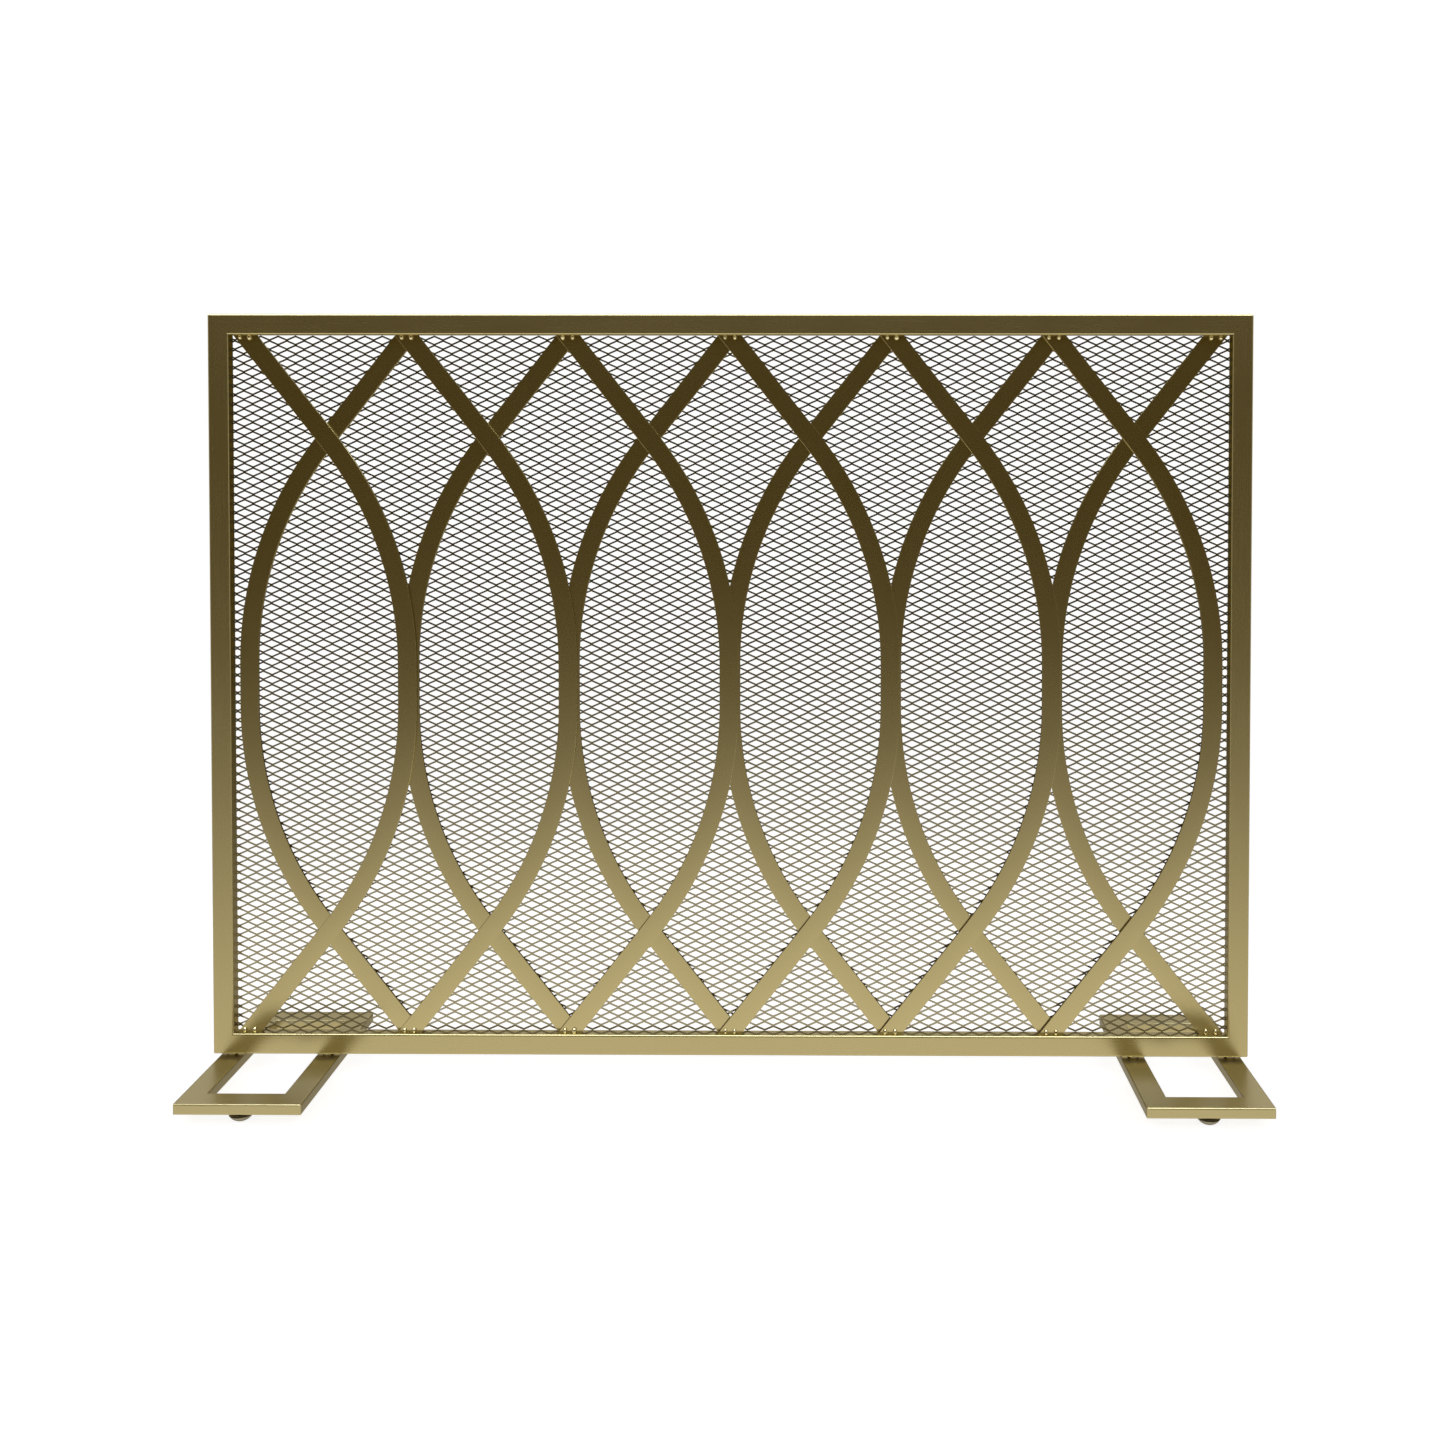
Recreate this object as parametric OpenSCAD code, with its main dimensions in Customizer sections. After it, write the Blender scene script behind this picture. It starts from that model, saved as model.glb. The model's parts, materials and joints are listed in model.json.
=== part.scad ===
// Free-standing fireplace screen: a tube frame with crossing arcs, a spark guard and two feet.
// Millimetres, +Z up, +X along the screen's width. The screen faces -Y.
// The origin is on the floor, under the middle of the frame.

/* [Frame] */
// Width of the frame, outside to outside
frame_w = 965; // [940:5:1000]
// Height of the frame, outside to outside
frame_h = 690; // [670:5:710]
// Face width of the frame tube, as seen from the front
tube_face = 19; // [17:0.5:22]
// Depth of the frame tube, front to back
tube_depth = 12.7; // [12:0.1:16]
// Wall thickness of the frame tube and the foot tube
tube_wall = 1.2; // [1:0.1:1.6]
// Outer corner radius of the frame tube
tube_corner = 1.5; // [1:0.1:2.5]
// Radius to which the frame's and the feet's own outer corners are ground
ground_corner = 2.2; // [1:0.1:3]

/* [Arcs] */
// Number of arcs in each of the two layers
arc_count = 6; // [4:1:6]
// Distance from one arc to the next
arc_pitch = 150; // [140:1:151]
// Width of the flat bar
bar_w = 17.4; // [14:0.1:19]
// Thickness of the flat bar
bar_t = 2.5; // [2:0.1:3]
// Centreline radius of a bend
bend_r = 335; // [320:1:350]
// Angle that each bend turns through
bend_angle = 38.2; // [37:0.1:39]
// Length of the straight stretch in the middle of an arc
middle_len = 41; // [20:1:60]

/* [Spark guard] */
// Long way of one diamond of the expanded metal, along X
diamond_long = 16.2; // [12:0.1:20]
// Short way of one diamond, along Z
diamond_short = 8.45; // [6:0.05:10]
// How many real diamonds one opening of this plain lattice stands for, each way
lattice_step = 6; // [5:1:7]
// Strand width as a part of an opening, which gives the lattice the weight of the real sheet
strand_share = 0.08; // [0.06:0.01:0.2]
// Thickness of the sheet after expanding, which tilts its strands
guard_t = 2.2; // [1.5:0.1:2.6]

/* [Feet] */
// Width of a foot, along X
foot_w = 112; // [100:1:130]
// Length of a foot, front to back
foot_len = 204; // [180:1:240]
// Width of the foot tube, seen from above
foot_face = 22; // [20:0.5:25]
// Height of the foot tube
foot_t = 9.5; // [9:0.5:12]
// Outer corner radius of the foot tube
foot_corner = 1.2; // [0.8:0.1:1.8]
// Distance from the frame's outer side in to the foot's outer side
foot_inset = 4.5; // [0:0.5:20]
// Gap between the foot and the bottom rail, filled by the spacers
foot_gap = 3; // [2:0.5:5]

/* [Glides] */
// Radius of the dome of a glide's cup
dome_r = 12; // [11:0.5:14]
// Radius of the flat sole under the dome
sole_r = 4; // [3:0.5:6]
// Height from the floor to the underside of the foot, with the glide screwed in
glide_h = 8.5; // [8:0.1:12]

/* [Fasteners] */
// Radius of the M6 thread of the bolts and the glide stems
thread_r = 3; // [3:0.1:3]
// Radial clearance of a thread in its rivet nut
thread_play = 0.05; // [0.02:0.01:0.08]

/* [Hidden] */
$fn = 96;
// Allowance by which a cutting tool overshoots what it cuts
over = 1;

// Heights
foot_z = glide_h;
foot_top = foot_z + foot_t;
frame_z = foot_top + foot_gap;
frame_mid_z = frame_z + frame_h / 2;
// The opening inside the frame
open_w = frame_w - 2 * tube_face;
open_h = frame_h - 2 * tube_face;

// Depth of each layer: the guard is flush with the frame's back, the arcs lie on its front
guard_y = tube_depth / 2 - guard_t;
rear_arc_y = guard_y - bar_t;
front_arc_y = rear_arc_y - bar_t;

// One arc: half of it is half the middle, one bend and one straight end
bend_x = bend_r * (1 - cos(bend_angle));
bend_h = middle_len / 2 + bend_r * sin(bend_angle);
end_len = (open_h / 2 - bend_h) / cos(bend_angle);
bulge = bend_x + end_len * sin(bend_angle);
first_station = -arc_pitch * arc_count / 2;

// Feet, bolts and glides
foot_x = frame_w / 2 - foot_inset - foot_w / 2;
bolt_dx = (foot_w - foot_face) / 2;
glide_y = (foot_len - foot_face) / 2;

// Rivet nuts
nut_flange_r = 5.5;
nut_flange_t = 0.8;
nut_body_r = 4.4;
rail_nut_len = 12;
foot_nut_len = 6.8;

// Bolts: button heads under the feet
washer_r = 6.5;
washer_t = 1;
head_r = 5.2;
head_h = 3;
hex_key = 4;
bolt_hole_r = 3.3;
spacer_r = 5;
sleeve_r = 4.6;

// Glides: a cup with a flat sole, and a stem that turns in it
cup_h = 5.4;
dome_z = sqrt(dome_r ^ 2 - sole_r ^ 2);
collar_af = 9;
collar_z = 5.6;
collar_t = 1.6;
button_r = 4.2;
button_z = 1.8;
button_t = 1.2;
socket_play = 0.06;
stem_len = 15.4;

FOOT_SIDES = ["left", "right"];
FOOT_ENDS = ["front", "rear"];

function side_sign(side) = side == "left" ? -1 : 1;
function end_sign(end) = end == "front" ? -1 : 1;

// ---- shared shapes ----

// A rectangle with round corners, built from true arcs
module rounded_rect(w, h, r) {
    square([w - 2 * r, h], center = true);
    square([w, h - 2 * r], center = true);
    for (x = [-1, 1], y = [-1, 1])
        translate([x * (w / 2 - r), y * (h / 2 - r)]) circle(r);
}

// A hollow tube along X with its middle at the origin, w across Y and h up Z,
// whose ends are mitred at 45 degrees: long on the -Y side, where the tips are ground round
module mitred_tube(len, w, h, r) {
    difference() {
        translate([-len / 2, 0, 0]) rotate([90, 0, 90]) linear_extrude(len)
            difference() {
                rounded_rect(w, h, r);
                square([w - 2 * tube_wall, h - 2 * tube_wall], center = true);
            }
        for (s = [0, 1]) mirror([s, 0, 0])
            translate([len / 2, -w / 2, 0]) rotate([0, 0, 45])
                translate([0, -w, -h / 2 - over]) cube([2 * w, 3 * w, h + 2 * over]);
        for (s = [0, 1]) mirror([s, 0, 0])
            translate([len / 2 - ground_corner, ground_corner - w / 2, -h / 2 - over])
                linear_extrude(h + 2 * over) difference() {
                    translate([0, -ground_corner - over]) square(ground_corner + over);
                    circle(r = ground_corner);
                }
    }
}

// One length of the frame tube: its face is turned to the front
module frame_tube(len) {
    rotate([-90, 0, 0]) mitred_tube(len, tube_face, tube_depth, tube_corner);
}

// One length of the foot tube
module foot_tube(len) {
    mitred_tube(len, foot_face, foot_t, foot_corner);
}

// Places its children at each of the four bolts, or at each of the four glides
module at_bolts() {
    for (s = [-1, 1], b = [-1, 1]) translate([s * foot_x + b * bolt_dx, 0, 0]) children();
}
module at_glides() {
    for (s = [-1, 1], e = [-1, 1]) translate([s * foot_x, e * glide_y, 0]) children();
}

// A rivet nut that hangs in a wall: its flange is below z = 0 and its body above
module rivet_nut(len) {
    difference() {
        union() {
            translate([0, 0, -nut_flange_t]) cylinder(r = nut_flange_r, h = nut_flange_t);
            cylinder(r = nut_body_r, h = len);
        }
        translate([0, 0, -nut_flange_t - over])
            cylinder(r = thread_r + thread_play, h = len + nut_flange_t + 2 * over);
    }
}

// ---- frame ----

module top_rail() {
    color("darkgoldenrod")
        translate([0, 0, frame_z + frame_h - tube_face / 2]) frame_tube(frame_w);
}

module bottom_rail() {
    color("darkgoldenrod") difference() {
        translate([0, 0, frame_z + tube_face / 2]) mirror([0, 0, 1]) frame_tube(frame_w);
        at_bolts() translate([0, 0, frame_z - over]) cylinder(r = nut_body_r, h = tube_wall + 2 * over);
    }
}

module stile(side) {
    s = side_sign(side);
    color("darkgoldenrod")
        translate([s * (frame_w - tube_face) / 2, 0, frame_mid_z])
            rotate([0, s * 90, 0]) frame_tube(frame_h);
}

// ---- arcs ----

// The upper half of one arc's outline, which bulges towards +X from a chord at x = 0
module half_arc_outline() {
    translate([bulge - bar_w / 2, 0]) square([bar_w, middle_len / 2]);
    translate([bulge - bend_r, middle_len / 2]) {
        intersection() {
            difference() {
                circle(r = bend_r + bar_w / 2, $fn = 360);
                circle(r = bend_r - bar_w / 2, $fn = 360);
            }
            polygon([[0, 0], [2 * bend_r, 0], [2 * bend_r, 2 * bend_r * tan(bend_angle)]]);
        }
        rotate([0, 0, bend_angle]) translate([bend_r - bar_w / 2, 0])
            square([bar_w, end_len + bar_w]);
    }
}

// One whole arc, cut off flat where it meets the top and bottom rails
module flat_arc() {
    rotate([90, 0, 0]) translate([0, 0, -bar_t]) linear_extrude(bar_t) intersection() {
        union() {
            half_arc_outline();
            mirror([0, 1]) half_arc_outline();
        }
        translate([-bar_w, -open_h / 2]) square([bulge + 2 * bar_w, open_h]);
    }
}

module front_arc(k) {
    color("goldenrod")
        translate([first_station + (k - 1) * arc_pitch, front_arc_y, frame_mid_z]) flat_arc();
}

module rear_arc(k) {
    color("peru")
        translate([first_station + k * arc_pitch, rear_arc_y, frame_mid_z])
            mirror([1, 0, 0]) flat_arc();
}

// ---- spark guard ----

// A plain lattice that weighs what the real sheet does. Its openings are coarser than the real ones.
module spark_guard() {
    cell = [diamond_long, diamond_short] * lattice_step;
    hole = cell * (1 - strand_share) / 2;
    // The furthest middles whose openings stay clear of the sheet's edge
    reach = [open_w, open_h] / 2 - hole - cell * strand_share / 2;
    columns = floor(2 * reach.x / cell.x);
    rows = floor(2 * reach.y / cell.y);
    color("tan") translate([0, guard_y + guard_t, frame_mid_z]) rotate([90, 0, 0])
        linear_extrude(guard_t) difference() {
            square([open_w, open_h], center = true);
            // Openings sit at every second half-cell, so that neighbours are staggered
            for (i = [-columns:columns], j = [-rows:rows]) if ((i + j) % 2 == 0)
                translate([i * cell.x / 2, j * cell.y / 2])
                    polygon([[-hole.x, 0], [0, -hole.y], [hole.x, 0], [0, hole.y]]);
        }
}

// ---- feet ----

// A bar across the foot, at its front or rear end, with the hole for the glide's rivet nut
module foot_end_bar(side, end) {
    color("darkkhaki")
        translate([side_sign(side) * foot_x, end_sign(end) * glide_y, foot_z + foot_t / 2])
            mirror([0, end == "front" ? 0 : 1, 0]) difference() {
                foot_tube(foot_w);
                translate([0, 0, -foot_t / 2 - over]) cylinder(r = nut_body_r, h = tube_wall + 2 * over);
            }
}

// A bar along the foot, with the hole for the bolt and its sleeve
module foot_side_bar(side, out) {
    color("darkkhaki")
        translate([side_sign(side) * (foot_x + out * bolt_dx), 0, foot_z + foot_t / 2])
            difference() {
                rotate([0, 0, side_sign(side) * out * 90]) foot_tube(foot_len);
                translate([0, 0, -foot_t / 2 - over]) cylinder(r = bolt_hole_r, h = foot_t + 2 * over);
            }
}

// ---- what holds the feet on ----

module rail_rivet_nuts() {
    color("silver") at_bolts() translate([0, 0, frame_z]) rivet_nut(rail_nut_len);
}

module foot_spacers() {
    color("darkgoldenrod") at_bolts() translate([0, 0, foot_top]) difference() {
        cylinder(r = spacer_r, h = foot_gap - nut_flange_t);
        translate([0, 0, -over]) cylinder(r = bolt_hole_r, h = foot_gap + over);
    }
}

module foot_crush_sleeves() {
    color("silver") at_bolts() translate([0, 0, foot_z + tube_wall]) difference() {
        cylinder(r = sleeve_r, h = foot_t - 2 * tube_wall);
        translate([0, 0, -over]) cylinder(r = bolt_hole_r, h = foot_t);
    }
}

module foot_washers() {
    color("silver") at_bolts() translate([0, 0, foot_z - washer_t]) difference() {
        cylinder(r = washer_r, h = washer_t);
        translate([0, 0, -over]) cylinder(r = bolt_hole_r, h = washer_t + 2 * over);
    }
}

module foot_bolts() {
    head_z = foot_z - washer_t - head_h;
    color("dimgray") at_bolts() difference() {
        union() {
            // Button head, narrower towards its underside
            translate([0, 0, head_z]) rotate_extrude() intersection() {
                translate([0, head_h * 2]) circle(r = head_h * 2);
                square([head_r, head_h]);
            }
            translate([0, 0, head_z + head_h / 2])
                cylinder(r = thread_r, h = frame_z + rail_nut_len - head_z - head_h / 2);
        }
        translate([0, 0, head_z - over])
            cylinder(r = hex_key / sqrt(3), h = head_h / 2 + over, $fn = 6);
    }
}

// ---- glides ----

module foot_rivet_nuts() {
    color("silver") at_glides() translate([0, 0, foot_z]) rivet_nut(foot_nut_len);
}

// Moves its children to one glide
module at_glide(side, end) {
    translate([side_sign(side) * foot_x, end_sign(end) * glide_y, 0]) children();
}

// A domed metal cup on a small flat sole. The stem's button is held in the socket inside it.
module glide_cup(side, end) {
    color("khaki") at_glide(side, end) difference() {
        rotate_extrude() intersection() {
            translate([0, dome_z]) circle(r = dome_r);
            square([dome_r, cup_h]);
        }
        translate([0, 0, button_z - socket_play])
            cylinder(r = button_r + socket_play, h = button_t + 2 * socket_play);
        translate([0, 0, button_z])
            cylinder(r = thread_r + socket_play, h = cup_h);
    }
}

// The M6 stem: a button at its foot, a hexagon collar for a spanner, and the thread
module glide_stem(side, end) {
    color("lightgray") at_glide(side, end) {
        translate([0, 0, button_z]) cylinder(r = button_r, h = button_t);
        translate([0, 0, button_z]) cylinder(r = thread_r, h = stem_len - button_z);
        translate([0, 0, collar_z]) cylinder(r = collar_af / sqrt(3), h = collar_t, $fn = 6);
    }
}

top_rail();
bottom_rail();
stile("left");  // left_stile
stile("right");  // right_stile
for (k = [1:arc_count]) {
    front_arc(k);
    rear_arc(k);
}
spark_guard();
for (s = FOOT_SIDES) {
    for (e = FOOT_ENDS) {
        foot_end_bar(s, e);
        glide_cup(s, e);
        glide_stem(s, e);
    }
    foot_side_bar(s, 1);
    foot_side_bar(s, -1);
}
rail_rivet_nuts();
foot_spacers();
foot_crush_sleeves();
foot_washers();
foot_bolts();
foot_rivet_nuts();
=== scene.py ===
"""Looks of the fireplace screen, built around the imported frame. Metres, +Z up; the screen faces -Y."""

import json
import math
import random

import bmesh
import bpy
import numpy as np
from mathutils import Matrix, Vector, noise


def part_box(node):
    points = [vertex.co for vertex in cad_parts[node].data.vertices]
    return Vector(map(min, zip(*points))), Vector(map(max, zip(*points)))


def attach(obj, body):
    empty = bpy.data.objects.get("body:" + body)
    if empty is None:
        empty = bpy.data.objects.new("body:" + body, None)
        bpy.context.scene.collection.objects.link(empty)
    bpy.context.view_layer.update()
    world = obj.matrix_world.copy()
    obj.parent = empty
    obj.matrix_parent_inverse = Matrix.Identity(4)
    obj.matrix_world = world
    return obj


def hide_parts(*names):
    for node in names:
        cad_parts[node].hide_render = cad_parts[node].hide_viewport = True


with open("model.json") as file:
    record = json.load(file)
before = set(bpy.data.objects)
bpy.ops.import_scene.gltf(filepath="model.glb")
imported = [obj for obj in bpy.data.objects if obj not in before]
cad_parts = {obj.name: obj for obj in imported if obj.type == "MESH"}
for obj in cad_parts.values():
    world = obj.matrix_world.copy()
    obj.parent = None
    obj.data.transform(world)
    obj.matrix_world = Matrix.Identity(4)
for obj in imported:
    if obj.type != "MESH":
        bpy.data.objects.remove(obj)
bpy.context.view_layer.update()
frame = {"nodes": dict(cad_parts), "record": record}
NODES = frame["nodes"]
BODIES = frame["record"]["behaviour"]["bodies"]
BODY_OF = {node: body for body, members in BODIES.items() for node in members}
MM = 0.001

# ---- places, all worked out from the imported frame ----

GUARD_LOW, GUARD_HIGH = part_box("spark_guard")
ARC_COUNT = sum(name.startswith("front_arc_") for name in NODES)
ARC_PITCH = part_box("front_arc_2")[0].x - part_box("front_arc_1")[0].x
STATIONS = [(k - ARC_COUNT / 2) * ARC_PITCH for k in range(ARC_COUNT + 1)]
FRONT_ARC_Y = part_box("front_arc_1")[0].y
REAR_ARC_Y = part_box("rear_arc_1")[0].y

# Finishes, as linear colours. The mesh's and the spacers' golds are darkened as painted shade, and the
# tacks' gold is lightened as a painted highlight.
GOLD = (0.45, 0.38, 0.185)
# The mesh is the frame's own gold paint, darkened here as painted shade for the shade among its strands.
MESH_GOLD_PAINTED_SHADE = (0.27, 0.245, 0.16)
# The spacers are the feet's own gold, darkened here as painted shadow for the shaded gap under the rail.
SPACER_GOLD_PAINTED_SHADE = (0.20, 0.15, 0.06)
# The weld tacks are the frame's own gold, lightened here as a painted highlight.
TACK_GOLD_PAINTED_HIGHLIGHT = (0.66, 0.58, 0.34)
GOLD_GLIDE = (0.38, 0.34, 0.23)
ZINC = (0.52, 0.53, 0.54)


# ---- camera, light and floor ----

def make_camera():
    """A shift-lens view from in front, a little right of the middle, with the frame nearly square on."""
    place = Vector((0.0767, -1.3120, 0.5838))
    pitch, yaw, roll = (math.radians(a) for a in (1.296, -0.363, 0.050))
    forward = Vector((math.sin(yaw) * math.cos(pitch), math.cos(yaw) * math.cos(pitch), -math.sin(pitch)))
    level = Vector((math.cos(yaw), -math.sin(yaw), 0))
    upright = level.cross(forward)
    right = level * math.cos(roll) + upright * math.sin(roll)
    up = upright * math.cos(roll) - level * math.sin(roll)
    data = bpy.data.cameras.new("camera")
    data.sensor_width = 36
    data.lens = 35.23
    data.shift_x = -0.056
    data.shift_y = -0.165
    data.clip_start = 0.01
    camera = bpy.data.objects.new("camera", data)
    bpy.context.scene.collection.objects.link(camera)
    camera.matrix_world = Matrix.Translation(place) @ Matrix((right, up, -forward)).transposed().to_4x4()
    bpy.context.scene.camera = camera


class Tree:
    """A node tree with short calls for the nodes that the materials and the world use."""

    def __init__(self, tree):
        tree.nodes.clear()
        self.tree = tree

    def add(self, kind, values=None, **settings):
        """A new node, with its input values or links by name or number."""
        node = self.tree.nodes.new(kind)
        for name, value in settings.items():
            setattr(node, name, value)
        for name, value in (values or {}).items():
            if isinstance(value, bpy.types.NodeSocket):
                self.tree.links.new(value, node.inputs[name])
            else:
                node.inputs[name].default_value = value
        return node

    def math(self, operation, a, b=0.0):
        return self.add("ShaderNodeMath", {0: a, 1: b}, operation=operation).outputs[0]

    def ramp(self, value, low, high, to_low=0.0, to_high=1.0):
        """A smooth step from to_low to to_high while value goes from low to high."""
        values = {"Value": value, "From Min": low, "From Max": high, "To Min": to_low, "To Max": to_high}
        return self.add("ShaderNodeMapRange", values, interpolation_type="SMOOTHSTEP").outputs[0]

    def mix(self, share, a, b, blend="MIX"):
        """Two colours mixed."""
        node = self.add("ShaderNodeMix", data_type="RGBA", blend_type=blend)
        for number, value in ((0, share), (6, a), (7, b)):
            if isinstance(value, bpy.types.NodeSocket):
                self.tree.links.new(value, node.inputs[number])
            else:
                node.inputs[number].default_value = value
        return node.outputs[2]

    def noise(self, vector, scale, detail=2.0):
        values = {"Vector": vector, "Scale": scale, "Detail": detail}
        return self.add("ShaderNodeTexNoise", values).outputs["Fac"]


def rgba(colour):
    return (*colour, 1.0)


def make_world():
    """A studio that the metal reflects: dark and warm at the horizon and overhead, white between and below.

    The white below is brighter in front of the screen, and the far sides are half lit. The camera itself
    sees plain white.
    """
    white, dark = (1.0, 0.97, 0.91), (0.085, 0.056, 0.0)
    brightest_below, dimmest_below = 1.27, 0.35
    world = bpy.data.worlds.new("studio")
    bpy.context.scene.world = world
    world.use_nodes = True
    t = Tree(world.node_tree)
    direction = t.add("ShaderNodeTexCoord").outputs["Generated"]
    xyz = t.add("ShaderNodeSeparateXYZ", {0: direction}).outputs
    above = t.math("MULTIPLY", t.ramp(xyz["Z"], 0.25, 0.46), t.ramp(xyz["Z"], 0.92, 0.70))
    front = t.ramp(xyz["Y"], 0.35, -0.35, dimmest_below, 1.0)
    below = t.math("MULTIPLY", t.ramp(xyz["Z"], -0.15, -0.38), front)
    beside = t.ramp(t.math("ABSOLUTE", xyz["X"]), 0.60, 0.90, 0.0, 0.5)
    bright = t.math("MAXIMUM", t.math("MAXIMUM", above, below), beside)
    room = t.mix(bright, rgba(dark), rgba(white))
    strength = t.ramp(below, 0.0, 1.0, 1.0, brightest_below)
    lit = t.add("ShaderNodeBackground", {"Color": room, "Strength": strength}).outputs[0]
    seen = t.add("ShaderNodeBackground", {"Color": rgba((1, 1, 1)), "Strength": 1.0}).outputs[0]
    camera_ray = t.add("ShaderNodeLightPath").outputs["Is Camera Ray"]
    both = t.add("ShaderNodeMixShader", {0: camera_ray, 1: lit, 2: seen}).outputs[0]
    t.add("ShaderNodeOutputWorld", {"Surface": both})
    bpy.context.scene.view_settings.view_transform = "Standard"


def make_light(name, place, target, size, power):
    """A soft rectangular light that points at target, and lights glossy reflections only."""
    data = bpy.data.lights.new(name, "AREA")
    data.shape = "RECTANGLE"
    data.size, data.size_y = size
    data.energy = power
    data.color = (0.76, 0.85, 1.0)
    light = bpy.data.objects.new(name, data)
    bpy.context.scene.collection.objects.link(light)
    light.location = place
    light.rotation_mode = "QUATERNION"
    light.rotation_quaternion = (Vector(target) - Vector(place)).to_track_quat("-Z", "Y")
    light.visible_camera = False
    light.visible_diffuse = False


def make_floor():
    """A round pale floor that the object stands on. It glows a little, and the metal doesn't reflect it."""
    radius, gap = 0.85, 0.2 * MM
    mesh = bpy.data.meshes.new("floor")
    shape = bmesh.new()
    bmesh.ops.create_circle(shape, cap_ends=True, segments=96, radius=radius)
    shape.to_mesh(mesh)
    shape.free()
    floor = bpy.data.objects.new("floor", mesh)
    floor.location.z = -gap
    floor.visible_glossy = False
    bpy.context.scene.collection.objects.link(floor)
    material = bpy.data.materials.new("pale_floor")
    material.use_nodes = True
    t = Tree(material.node_tree)
    look = t.add("ShaderNodeBsdfPrincipled", {
        "Base Color": rgba((0.50, 0.51, 0.53)), "Roughness": 0.9, "Specular IOR Level": 0.1,
        "Emission Color": rgba((0.98, 0.985, 1.0)), "Emission Strength": 0.82,
    })
    t.add("ShaderNodeOutputMaterial", {"Surface": look.outputs[0]})
    mesh.materials.append(material)


# ---- materials ----

def metal(name, colour, grain=None, roughness=0.29, coat=0.12, wear=1.0):
    """Satin metal with a fine sprayed grain, drawn-out streaks along an axis, and slow changes of tone.

    grain is the axis along which the bar was rolled, as "X", "Y" or "Z", or None for no streaks. wear scales
    how much the tone, the roughness and the surface vary.
    """
    # Scales of the noises, a metre
    across, along, even, fine, slow = 900.0, 22.0, 500.0, 1500.0, 11.0
    broader = 0.22
    material = bpy.data.materials.new(name)
    material.use_nodes = True
    t = Tree(material.node_tree)
    place = t.add("ShaderNodeTexCoord").outputs["Object"]
    scale = tuple(along if axis == grain else across for axis in "XYZ")
    stretched = t.add("ShaderNodeMapping", {"Vector": place, "Scale": scale}).outputs[0]
    streaks = t.noise(stretched, 1.0, 3.0) if grain else t.noise(place, even)
    broad_scale = tuple(s * broader for s in scale)
    broad = t.noise(t.add("ShaderNodeMapping", {"Vector": place, "Scale": broad_scale}).outputs[0], 1.0)
    speckle = t.noise(place, fine, 1.0)
    cloud = t.noise(place, slow, 3.0)

    tone = 1.0
    for source, amount in ((streaks, 0.11), (broad, 0.08), (speckle, 0.08), (cloud, 0.12)):
        swing = t.math("MULTIPLY", t.math("SUBTRACT", source, 0.5), amount * wear)
        tone = t.math("ADD", swing, tone)
    shade = t.add("ShaderNodeCombineXYZ", {0: tone, 1: tone, 2: tone}).outputs[0]
    colour_out = t.mix(1.0, rgba(colour), shade, "MULTIPLY")

    rough = roughness
    for source in (streaks, cloud):
        swing = t.math("MULTIPLY", t.math("SUBTRACT", source, 0.5), 0.10 * wear)
        rough = t.math("ADD", swing, rough)
    height = t.math("ADD", t.math("MULTIPLY", streaks, 0.6), t.math("MULTIPLY", speckle, 0.4))
    bump = t.add("ShaderNodeBump", {"Height": height, "Strength": 0.35 * wear, "Distance": 0.03 * MM})
    look = t.add("ShaderNodeBsdfPrincipled", {
        "Base Color": colour_out, "Metallic": 1.0, "Roughness": rough,
        "Coat Weight": coat, "Coat Roughness": 0.18, "Normal": bump.outputs[0],
    })
    t.add("ShaderNodeOutputMaterial", {"Surface": look.outputs[0]})
    return material


def paint(name, material):
    """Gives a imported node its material."""
    for spot in NODES[name].material_slots:
        spot.link = "OBJECT"
        spot.material = material


def soften(name, width):
    """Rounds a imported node's sharp edges a little, and shades its flats flat."""
    node = NODES[name]
    weld = node.modifiers.new("weld", "WELD")
    weld.merge_threshold = 0.002 * MM
    bevel = node.modifiers.new("bevel", "BEVEL")
    bevel.width = width
    bevel.segments = 2
    bevel.limit_method = "ANGLE"
    bevel.angle_limit = math.radians(40)
    shade = node.modifiers.new("shade", "WEIGHTED_NORMAL")
    shade.weight = 100


def finish_packed_nodes():
    """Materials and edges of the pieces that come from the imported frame."""
    tube = {axis: metal(f"satin_gold_tube_{axis}", GOLD, axis, roughness=0.27, wear=0.3) for axis in "XZ"}
    bar = metal("satin_gold_bar", GOLD, None, roughness=0.22, wear=0.2)
    foot = {
        axis: metal(f"satin_gold_foot_{axis}", GOLD, axis, roughness=0.32, coat=0.35, wear=0.3)
        for axis in "XY"
    }
    glide = metal("polished_glide", GOLD_GLIDE, None, roughness=0.40, coat=0.3, wear=0.4)
    # The spacers' darker gold is painted shadow, for the gap between the foot and the rail.
    spacer = metal("satin_gold_spacer_painted_shade", SPACER_GOLD_PAINTED_SHADE, None, roughness=0.16, wear=0.4)
    zinc = metal("zinc_steel", ZINC, None, roughness=0.30, coat=0.0)
    for name in NODES:
        if "arc" in name:
            paint(name, bar)
            soften(name, 0.3 * MM)
        elif name.endswith("rail") or name.endswith("stile"):
            paint(name, tube["X" if name.endswith("rail") else "Z"])
        elif name.endswith("_bar"):
            paint(name, foot["X" if "front" in name or "rear" in name else "Y"])
        elif name == "foot_spacers":
            paint(name, spacer)
            soften(name, 0.2 * MM)
        elif name.endswith("_cup"):
            paint(name, glide)
        else:
            paint(name, zinc)
            soften(name, 0.15 * MM)
    return zinc


# ---- pieces made here ----

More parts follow.
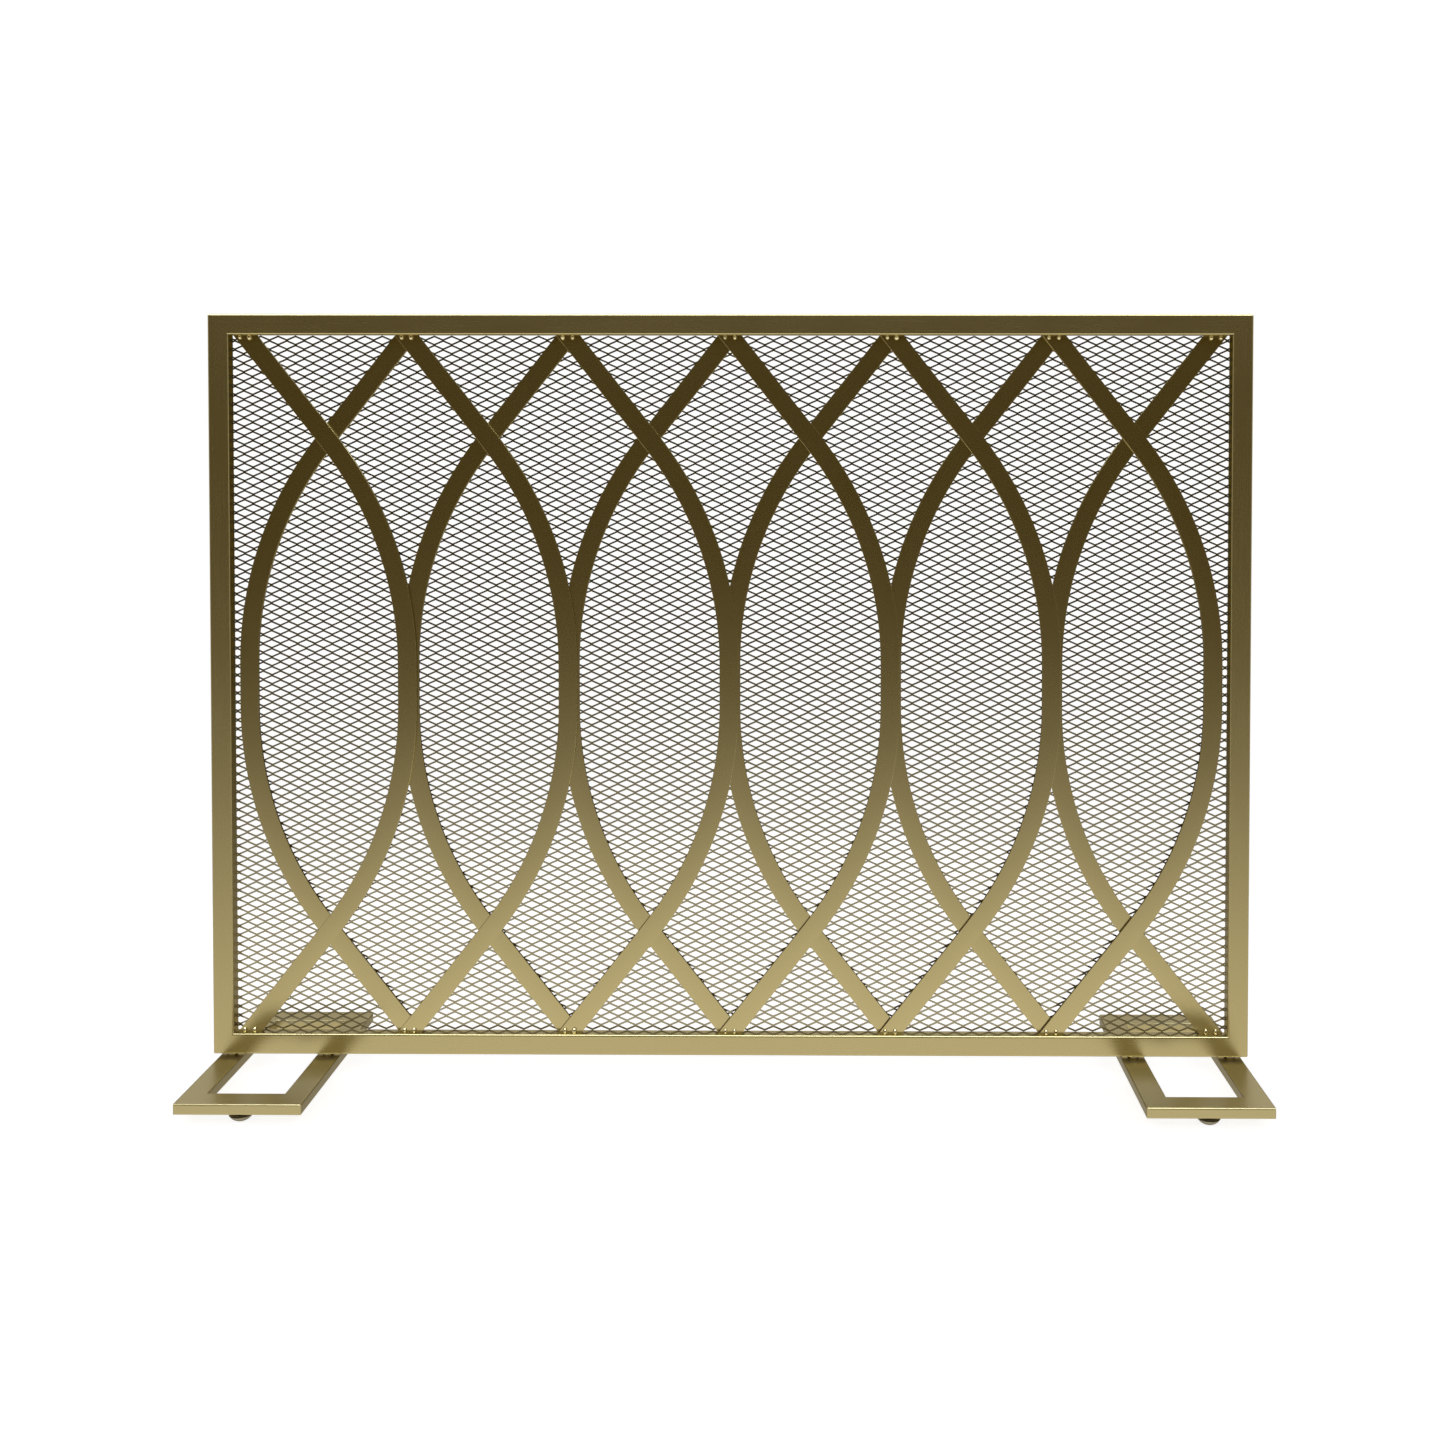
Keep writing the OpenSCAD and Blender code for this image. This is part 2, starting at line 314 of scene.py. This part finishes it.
def make_piece(name, points, faces, material, body, smooth=False):
    """A mesh piece that rides on a body."""
    mesh = bpy.data.meshes.new(name)
    mesh.from_pydata(points, [], faces)
    mesh.validate()
    mesh.update()
    mesh.polygons.foreach_set("use_smooth", [smooth] * len(mesh.polygons))
    mesh.materials.append(material)
    piece = bpy.data.objects.new(name, mesh)
    bpy.context.scene.collection.objects.link(piece)
    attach(piece, body)
    return piece


def make_spark_guard(material):
    """The expanded-metal sheet: rows of zigzag strands, each joined to the next at every turn.

    The sheet was rolled flat after expanding, so a strand's wide face is nearly upright.
    """
    # From one turn to the next, between rows, and between two rows' middles where they join at a turn
    half_long, nearly_row_step, turn_gap = 8.1 * MM, 4.225 * MM, 0.75 * MM
    strand_w, strand_t = 1.65 * MM, 0.60 * MM
    tilt = math.radians(-1)
    middle = (GUARD_LOW + GUARD_HIGH) / 2
    half = (GUARD_HIGH - GUARD_LOW) / 2
    swing = (nearly_row_step - turn_gap) / 2

    wide = Vector((0, math.sin(tilt), math.cos(tilt))) * strand_w / 2
    thick = Vector((0, -math.cos(tilt), math.sin(tilt))) * strand_t / 2
    section = np.array([wide + thick, thick - wide, -wide - thick, wide - thick])

    turns = int(half.x / half_long)
    xs = np.concatenate([[-half.x], np.arange(-turns, turns + 1) * half_long, [half.x]])
    # The height of a strand's middle at each station, as a triangle wave of x
    wave = swing * (1 - 2 * np.abs((xs / half_long) % 2 - 1))
    # The first and last rows touch the rails at their turns
    first_row = GUARD_LOW.z + swing + section[:, 2].max()
    last_row = GUARD_HIGH.z - swing - section[:, 2].max()
    rows = round((last_row - first_row) / nearly_row_step) + 1
    points, faces = [], []
    for j, row_z in enumerate(np.linspace(first_row, last_row, rows)):
        line = row_z + (wave if j % 2 == 0 else -wave)
        first = len(points)
        for x, z in zip(xs, line):
            for corner in section:
                points.append((middle.x + x, middle.y + corner[1], z + corner[2]))
        for i in range(len(xs) - 1):
            a, b = first + 4 * i, first + 4 * (i + 1)
            for c in range(4):
                d = (c + 1) % 4
                faces.append((a + c, b + c, b + d, a + d))
        last = first + 4 * (len(xs) - 1)
        faces.append((first, first + 1, first + 2, first + 3))
        faces.append((last + 3, last + 2, last + 1, last))
    piece = make_piece("spark_guard_mesh", points, faces, material, "frame")
    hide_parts("spark_guard")


def make_weld_tacks(material):
    """Two small weld tacks where the arcs end on each rail, at every station."""
    spacing, misplaced = 8.9 * MM, 0.5 * MM
    radii = Vector((1.9, 1.7, 2.6)) * MM
    proud, sunk = 0.8 * MM, 0.7
    lumpiness, lump_scale = 0.16, 1.7
    draw = random.Random(7)
    for rail, level, way in (("bottom", GUARD_LOW.z, 1), ("top", GUARD_HIGH.z, -1)):
        points, faces = [], []
        for k, station in enumerate(STATIONS):
            depth = REAR_ARC_Y if k == ARC_COUNT else FRONT_ARC_Y
            for side in (-1, 1):
                shape = bmesh.new()
                bmesh.ops.create_icosphere(shape, subdivisions=3, radius=1)
                size = draw.uniform(0.85, 1.15)
                seed = Vector((draw.uniform(0, 50), draw.uniform(0, 50), 0))
                at = Vector((
                    station + side * spacing / 2 + draw.uniform(-misplaced, misplaced),
                    depth - proud,
                    level + way * radii.z * sunk,
                ))
                first = len(points)
                for v in shape.verts:
                    lump = 1 + lumpiness * noise.noise(v.co * lump_scale + seed)
                    points.append(at + Vector(v.co[i] * radii[i] * size * lump for i in range(3)))
                faces.extend([first + v.index for v in f.verts] for f in shape.faces)
                shape.free()
        make_piece(f"{rail}_weld_tacks", points, faces, material, "frame", smooth=True)


def make_stem(name, body, material):
    """A glide's stem with its button, hexagon collar and rolled M6 thread."""
    low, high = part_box(name)
    middle = (low + high) / 2
    sides, pitch, rings_a_turn = 32, 1.0 * MM, 8
    shaft_r, thread_r, root_r = 2.95 * MM, 3.0 * MM, 2.45 * MM
    point_slope = 0.8
    button_r, button_t, button_edge = 4.2 * MM, 1.2 * MM, 0.15 * MM
    collar_flats = 9 * MM
    collar_low, collar_t, collar_r, collar_edge = 5.6 * MM, 1.6 * MM, collar_flats / math.sqrt(3), 0.25 * MM
    overlap = 0.1 * MM
    thread_low = collar_low + collar_t - overlap

    def thread(z, angle):
        crest = abs(2 * ((z / pitch - angle / math.tau) % 1) - 1)
        tip = root_r + (high.z - z) * point_slope
        return min(root_r + (thread_r - root_r) * crest, tip)

    profile = [
        (low.z, button_r - button_edge), (low.z + button_edge, button_r),
        (low.z + button_t - button_edge, button_r), (low.z + button_t, button_r - button_edge),
        (low.z + button_t, shaft_r), (thread_low, shaft_r),
    ]
    rings = [[(r, z)] * sides for z, r in profile]
    steps = int((high.z - thread_low) / (pitch / rings_a_turn))
    for i in range(steps + 1):
        z = thread_low + (high.z - thread_low) * i / steps
        rings.append([(thread(z, math.tau * s / sides), z) for s in range(sides)])
    points = []
    for ring in rings:
        for s, (r, z) in enumerate(ring):
            angle = math.tau * s / sides
            points.append((middle.x + r * math.cos(angle), middle.y + r * math.sin(angle), z))
    faces = [list(range(sides))[::-1], list(range(len(points) - sides, len(points)))]
    for i in range(len(rings) - 1):
        for s in range(sides):
            a, b = i * sides + s, i * sides + (s + 1) % sides
            faces.append((a, b, b + sides, a + sides))

    first = len(points)
    collar = [
        (collar_low, collar_r - collar_edge), (collar_low + collar_edge, collar_r),
        (collar_low + collar_t - collar_edge, collar_r), (collar_low + collar_t, collar_r - collar_edge),
    ]
    for z, r in collar:
        for s in range(6):
            angle = math.tau * s / 6
            points.append((middle.x + r * math.cos(angle), middle.y + r * math.sin(angle), z))
    faces.append([first + s for s in range(6)][::-1])
    faces.append([first + 18 + s for s in range(6)])
    for i in range(3):
        for s in range(6):
            a, b = first + i * 6 + s, first + i * 6 + (s + 1) % 6
            faces.append((a, b, b + 6, a + 6))
    piece = make_piece(name.replace("_stem", "_threaded_stem"), points, faces, material, body)
    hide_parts(name)


make_camera()
make_world()
make_light("overhead", (0.0, -0.55, 1.90), (0.0, 0.0, 0.30), (2.4, 1.0), 62.0)
make_floor()
zinc = finish_packed_nodes()
# The mesh's darker gold is painted shade, not a different paint.
make_spark_guard(metal("gold_mesh", MESH_GOLD_PAINTED_SHADE, None, roughness=0.18, coat=0.0, wear=0.4))
# The tacks' lighter gold is a painted highlight, not a different paint.
make_weld_tacks(metal("gold_tack_painted_highlight", TACK_GOLD_PAINTED_HIGHLIGHT, None, roughness=0.14, wear=0.4))
for stem in sorted(name for name in NODES if name.endswith("_stem")):
    make_stem(stem, BODY_OF[stem], zinc)
